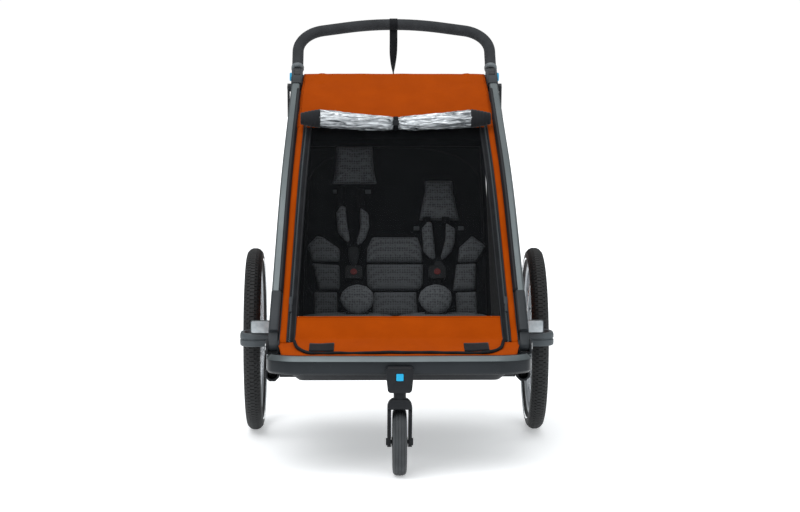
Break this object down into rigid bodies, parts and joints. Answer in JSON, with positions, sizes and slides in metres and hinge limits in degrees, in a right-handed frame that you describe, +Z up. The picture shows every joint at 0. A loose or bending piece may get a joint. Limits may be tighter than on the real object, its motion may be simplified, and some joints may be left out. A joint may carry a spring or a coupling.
{
  "type": "child bicycle trailer",
  "caption": "Two-seat child bicycle trailer with large rear wheels, swivelling front wheel, folding frame, mesh front cover and push handlebar.",
  "frame": {"origin": "on the ground under the middle of the trailer's box", "axes": "+X to the trailer's right, +Y to the rear, towards the handlebar, +Z up"},
  "size_m": [0.818, 1.0387, 1.1217],
  "materials": {
    "frame": "satin dark grey",
    "alu": "dark anodised",
    "plastic_black": "fine grain",
    "plastic_grey": "fine grain",
    "blue": "smooth",
    "red": "smooth",
    "orange_fabric": "ripstop weave",
    "black_fabric": "plain weave",
    "mesh": "open mesh",
    "pad": "spacer mesh",
    "webbing": "woven strap",
    "clear_film": "clear creased film",
    "foam": "closed-cell foam",
    "tyre": "block tread",
    "rim": "black anodised",
    "spoke": "drawn wire",
    "steel": "zinc plated",
    "reflector": "prismatic"
  },
  "bodies": {
    "chassis": {"front_bumper": "alu", "side_rail_left": "alu", "side_rail_right": "alu", "rear_crossbar": "frame", "seat_tubes": "frame", "floor_tray": "plastic_black", "receiver_tube": "frame", "receivers": "plastic_black", "pivot_brackets": "plastic_black", "pivot_pins": "steel", "suspension_mounts": "plastic_black", "wheel_guards": "plastic_grey", "front_reflectors": "reflector", "front_wheel_mount": "plastic_black", "seat_pan": "plastic_black", "seat_cushion": "pad", "crotch_pads": "pad", "harness_buckles": "plastic_black", "side_panel_left": "orange_fabric", "side_panel_right": "orange_fabric"},
    "upper_frame": {"pillar_left": "alu", "pillar_right": "alu", "pillar_feet": "plastic_black", "hinge_caps": "plastic_black", "top_crossbar": "frame", "front_panel": "orange_fabric", "front_window": "mesh", "canopy": "orange_fabric", "rain_cover_roll": "clear_film"},
    "handlebar": {"handlebar": "frame", "handlebar_grip": "foam", "wrist_strap": "webbing"},
    "seat_back": {"seat_back": "black_fabric", "back_pads": "pad", "headrests": "pad", "harness": "webbing", "cargo_bag": "black_fabric"},
    "lower_braces": {"brace_lowers": "frame"},
    "upper_braces": {"brace_uppers": "frame"},
    "hinge_button_left": {"hinge_button_left": "blue"},
    "hinge_button_right": {"hinge_button_right": "blue"},
    "mount_button": {"mount_button": "blue"},
    "buckle_button_left": {"buckle_button_left": "red"},
    "buckle_button_right": {"buckle_button_right": "red"},
    "zip_slider_left": {"zip_slider_left": "steel"},
    "zip_slider_right": {"zip_slider_right": "steel"},
    "arm_left": {"suspension_arm_left": "plastic_black"},
    "arm_right": {"suspension_arm_right": "plastic_black"},
    "wheel_left": {"tyre_left": "tyre", "rim_left": "rim", "hub_left": "steel", "spokes_left": "spoke"},
    "wheel_right": {"tyre_right": "tyre", "rim_right": "rim", "hub_right": "steel", "spokes_right": "spoke"},
    "caster_fork": {"caster_fork": "plastic_black"},
    "caster_wheel": {"caster_tyre": "tyre", "caster_rim": "plastic_black"},
    "brake_pedal": {"brake_pedal": "plastic_black"}
  },
  "joints": [
    {"name": "frame_fold", "type": "hinge", "parent": "chassis", "child": "upper_frame", "pos_m": [0, -0.345, 0.303], "axis": [-1, 0, 0], "range_deg": [0, 30], "deforming": ["side_panel_left", "side_panel_right"]},
    {"name": "seat_back_fold", "type": "hinge", "parent": "chassis", "child": "seat_back", "pos_m": [0, 0.2325, 0.2952], "axis": [-1, 0, 0], "range_deg": [0, 52]},
    {"name": "lower_brace_turn", "type": "hinge", "parent": "chassis", "child": "lower_braces", "pos_m": [0, 0.424, 0.3], "axis": [1, 0, 0], "range_deg": [0, 65.4]},
    {"name": "upper_brace_turn", "type": "hinge", "parent": "upper_frame", "child": "upper_braces", "pos_m": [0, 0.31654, 0.93132], "axis": [-1, 0, 0], "range_deg": [0, 46.76]},
    {"name": "handlebar_tilt", "type": "hinge", "parent": "upper_frame", "child": "handlebar", "pos_m": [0, 0.3575, 0.96], "axis": [1, 0, 0], "range_deg": [-40, 60]},
    {"name": "hinge_button_left_press", "type": "slide", "parent": "upper_frame", "child": "hinge_button_left", "axis": [1, 0, 0], "range_m": [0, 0.003], "stiffness_N_per_m": 700},
    {"name": "hinge_button_right_press", "type": "slide", "parent": "upper_frame", "child": "hinge_button_right", "axis": [-1, 0, 0], "range_m": [0, 0.003], "stiffness_N_per_m": 700},
    {"name": "mount_button_press", "type": "slide", "parent": "chassis", "child": "mount_button", "axis": [0, 1, 0], "range_m": [0, 0.003], "stiffness_N_per_m": 700},
    {"name": "buckle_button_left_press", "type": "slide", "parent": "chassis", "child": "buckle_button_left", "axis": [0, 0.8192, -0.5736], "range_m": [0, 0.002], "stiffness_N_per_m": 700},
    {"name": "buckle_button_right_press", "type": "slide", "parent": "chassis", "child": "buckle_button_right", "axis": [0, 0.8192, -0.5736], "range_m": [0, 0.002], "stiffness_N_per_m": 700},
    {"name": "zip_left_pull", "type": "slide", "parent": "upper_frame", "child": "zip_slider_left", "axis": [0.0445, 0.6287, 0.7764], "range_m": [0, 0.2]},
    {"name": "suspension_left", "type": "hinge", "parent": "chassis", "child": "arm_left", "pos_m": [0, 0.1325, 0.232], "axis": [1, 0, 0], "range_deg": [-3, 5], "stiffness_Nm_per_rad": 370, "springref_deg": -1.03},
    {"name": "wheel_left_spin", "type": "hinge", "parent": "arm_left", "child": "wheel_left", "pos_m": [-0.38, 0.2625, 0.248], "axis": [1, 0, 0], "continuous": true},
    {"name": "zip_right_pull", "type": "slide", "parent": "upper_frame", "child": "zip_slider_right", "axis": [-0.0445, 0.6287, 0.7764], "range_m": [0, 0.2]},
    {"name": "suspension_right", "type": "hinge", "parent": "chassis", "child": "arm_right", "pos_m": [0, 0.1325, 0.232], "axis": [1, 0, 0], "range_deg": [-3, 5], "stiffness_Nm_per_rad": 370, "springref_deg": -1.03},
    {"name": "wheel_right_spin", "type": "hinge", "parent": "arm_right", "child": "wheel_right", "pos_m": [0.38, 0.2625, 0.248], "axis": [1, 0, 0], "continuous": true},
    {"name": "caster_swivel", "type": "hinge", "parent": "chassis", "child": "caster_fork", "pos_m": [0, -0.4725, 0.082], "axis": [0, 0, 1], "continuous": true},
    {"name": "caster_spin", "type": "hinge", "parent": "caster_fork", "child": "caster_wheel", "pos_m": [0, -0.4375, 0.082], "axis": [1, 0, 0], "continuous": true},
    {"name": "brake_press", "type": "hinge", "parent": "chassis", "child": "brake_pedal", "pos_m": [0, 0.2065, 0.203], "axis": [-1, 0, 0], "range_deg": [0, 8]}
  ],
  "couplings": [
    {"joint": "seat_back_fold", "follows": "frame_fold", "ratio": 1.7333},
    {"joint": "lower_brace_turn", "follows": "frame_fold", "ratio": 2.1801},
    {"joint": "upper_brace_turn", "follows": "frame_fold", "ratio": 1.5586}
  ]
}
